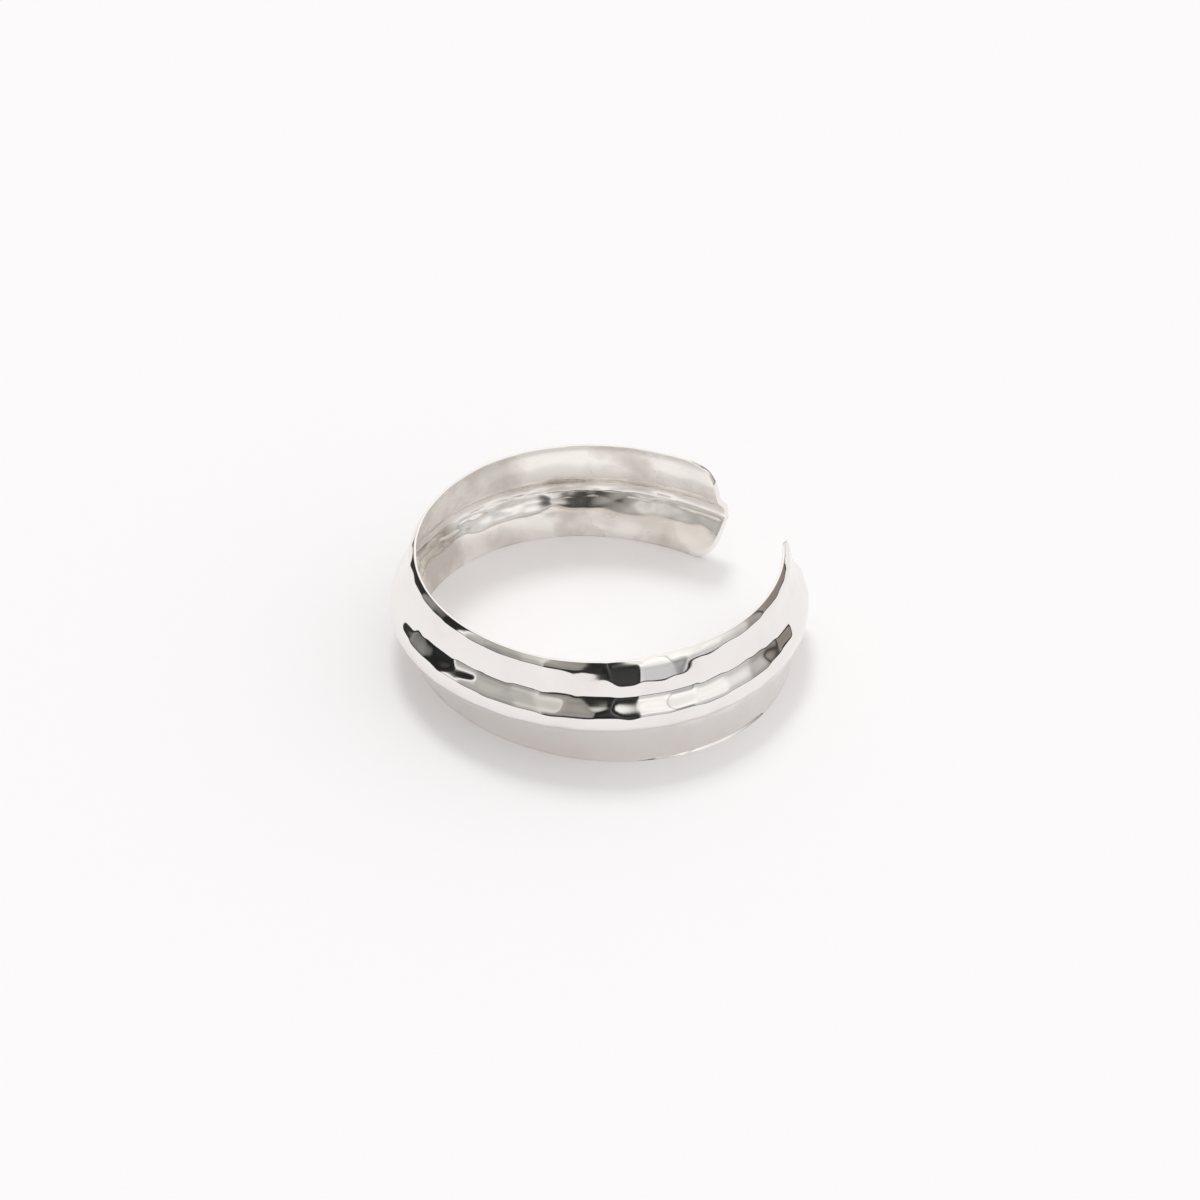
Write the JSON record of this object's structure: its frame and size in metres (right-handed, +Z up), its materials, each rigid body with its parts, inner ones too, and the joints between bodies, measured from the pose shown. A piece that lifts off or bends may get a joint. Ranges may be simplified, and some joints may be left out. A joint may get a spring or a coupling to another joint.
{
  "type": "cuff bracelet",
  "caption": "Open cuff bracelet: one hammered silver band with a ridge pushed out all the way round, a plain rim above it, a tapered foot below it and rounded ends.",
  "frame": {"origin": "centre of the band's box, on the surface that the foot stands on", "axes": "+Z up through the wrist opening, from the foot to the top rim; +X from the closed back of the cuff to the middle of the gap; +Y along the widest part"},
  "size_m": [0.065, 0.0692, 0.0179],
  "materials": {
    "silver": "planished and polished silver"
  },
  "bodies": {
    "root": {"cuff_band": "silver"}
  },
  "joints": []
}
